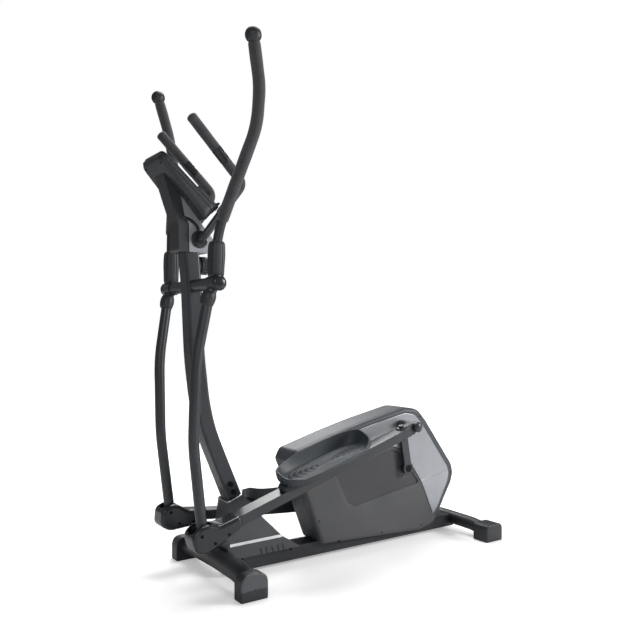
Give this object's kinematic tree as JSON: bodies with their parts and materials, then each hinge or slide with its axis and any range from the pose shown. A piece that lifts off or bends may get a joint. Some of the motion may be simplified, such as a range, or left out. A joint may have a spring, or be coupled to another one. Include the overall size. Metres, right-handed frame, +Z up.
{
  "type": "elliptical trainer",
  "caption": "Home elliptical trainer with rear drive housing, swinging handlebars joined to pedal arms, fixed handlebar, tilted console and tension knob.",
  "frame": {"origin": "on the floor, at the middle of the footprint", "axes": "+X rearwards from the console to the drive housing, -Y the user's left, +Z up"},
  "size_m": [1.2628, 0.691, 1.6034],
  "materials": {
    "black_paint": "satin powder coat",
    "black_plastic": "fine moulded grain",
    "grey_plastic": "satin",
    "silver_plastic": "satin silver",
    "pedal_plastic": "moulded ribs",
    "bright_trim": "polished",
    "foam": "closed-cell foam",
    "rubber": "matt",
    "steel": "machined",
    "cast_iron": "cast",
    "moulded_parts": "moulded",
    "lens": "clear"
  },
  "bodies": {
    "frame": {"main_rail": "black_paint", "front_stabiliser": "black_paint", "rear_stabiliser": "black_paint", "foot_caps": "black_plastic", "mast_post": "black_paint", "mast": "black_paint", "base_cover_left": "grey_plastic", "base_cover_right": "grey_plastic", "base_trims": "bright_trim", "frame_bolts": "steel", "swing_axle": "steel", "mast_shroud": "black_plastic", "bar_cover_left": "silver_plastic", "bar_cover_right": "silver_plastic", "bar_grommets": "rubber", "fixed_handlebar": "black_paint", "fixed_grips": "foam", "pulse_sensors": "black_plastic", "console_front": "black_plastic", "console_back": "black_plastic", "console_lens": "lens", "tablet_ledge": "black_plastic", "housing_left": "grey_plastic", "housing_right": "grey_plastic", "housing_band": "grey_plastic", "silver_panels": "silver_plastic", "drive_mount": "black_paint", "crank_bearings": "steel", "drive_belt": "rubber", "tension_cable": "rubber"},
    "knob": {"tension_knob": "black_plastic"},
    "brake": {"brake_bracket": "steel"},
    "flywheel_set": {"flywheel": "cast_iron", "flywheel_shaft": "steel"},
    "idler": {"idler_wheel": "moulded_parts"},
    "crank": {"crank_axle": "steel", "crank_pulley": "moulded_parts", "crank_left": "black_paint", "crank_right": "black_paint"},
    "key_mode": {"button_mode": "moulded_parts"},
    "key_set": {"button_set": "moulded_parts"},
    "key_reset": {"button_reset": "moulded_parts"},
    "swing_left": {"swing_tube_left": "black_paint", "handlebar_left": "black_paint", "handle_grip_left": "foam", "handle_end_left": "black_plastic", "arm_cover_left": "black_plastic"},
    "pedal_left": {"link_arm_left": "black_paint", "joint_cover_left": "black_plastic", "pedal_left": "pedal_plastic", "rear_hinge_left": "black_paint"},
    "swing_right": {"swing_tube_right": "black_paint", "handlebar_right": "black_paint", "handle_grip_right": "foam", "handle_end_right": "black_plastic", "arm_cover_right": "black_plastic"},
    "pedal_right": {"link_arm_right": "black_paint", "joint_cover_right": "black_plastic", "pedal_right": "pedal_plastic", "rear_hinge_right": "black_paint"}
  },
  "joints": [
    {"name": "crank_spin", "type": "hinge", "parent": "frame", "child": "crank", "pos_m": [0.3222, 0, 0.269], "axis": [0, 1, 0], "continuous": true},
    {"name": "flywheel_spin", "type": "hinge", "parent": "frame", "child": "flywheel_set", "pos_m": [0.075, 0, 0.232], "axis": [0, 1, 0], "continuous": true},
    {"name": "idler_spin", "type": "hinge", "parent": "frame", "child": "idler", "pos_m": [0.1686, 0.038, 0.15881], "axis": [0, 1, 0], "continuous": true},
    {"name": "swing_left_pivot", "type": "hinge", "parent": "frame", "child": "swing_left", "pos_m": [-0.4955, -0.159, 0.904], "axis": [0, -1, 0], "range_deg": [-12.5, 12.5]},
    {"name": "swing_right_pivot", "type": "hinge", "parent": "frame", "child": "swing_right", "pos_m": [-0.4955, 0.159, 0.904], "axis": [0, -1, 0], "range_deg": [-12.5, 12.5]},
    {"name": "pedal_left_pivot", "type": "hinge", "parent": "swing_left", "child": "pedal_left", "pos_m": [-0.52027, -0.14, 0.17442], "axis": [0, -1, 0], "range_deg": [-23.2, 4.4]},
    {"name": "pedal_right_pivot", "type": "hinge", "parent": "swing_right", "child": "pedal_right", "pos_m": [-0.50188, 0.14, 0.17403], "axis": [0, -1, 0], "range_deg": [0, 27.6]},
    {"name": "tension_turn", "type": "hinge", "parent": "frame", "child": "knob", "pos_m": [-0.47, 0, 0.969], "axis": [1, 0, 0], "range_deg": [0, 315]},
    {"name": "brake_turn", "type": "hinge", "parent": "frame", "child": "brake", "pos_m": [-0.04716, 0, 0.18754], "axis": [0, -1, 0], "range_deg": [0, 8]},
    {"name": "mode_press", "type": "slide", "parent": "frame", "child": "key_mode", "axis": [-0.6652, 0, -0.7466], "range_m": [0, 0.001], "stiffness_N_per_m": 900},
    {"name": "set_press", "type": "slide", "parent": "frame", "child": "key_set", "axis": [-0.6652, 0, -0.7466], "range_m": [0, 0.001], "stiffness_N_per_m": 900},
    {"name": "reset_press", "type": "slide", "parent": "frame", "child": "key_reset", "axis": [-0.6652, 0, -0.7466], "range_m": [0, 0.001], "stiffness_N_per_m": 900}
  ],
  "couplings": [
    {"joint": "flywheel_spin", "follows": "crank_spin", "ratio": 4.8},
    {"joint": "idler_spin", "follows": "crank_spin", "ratio": -6},
    {"joint": "swing_right_pivot", "follows": "swing_left_pivot", "ratio": -1},
    {"joint": "brake_turn", "follows": "tension_turn", "ratio": 0.025397}
  ]
}
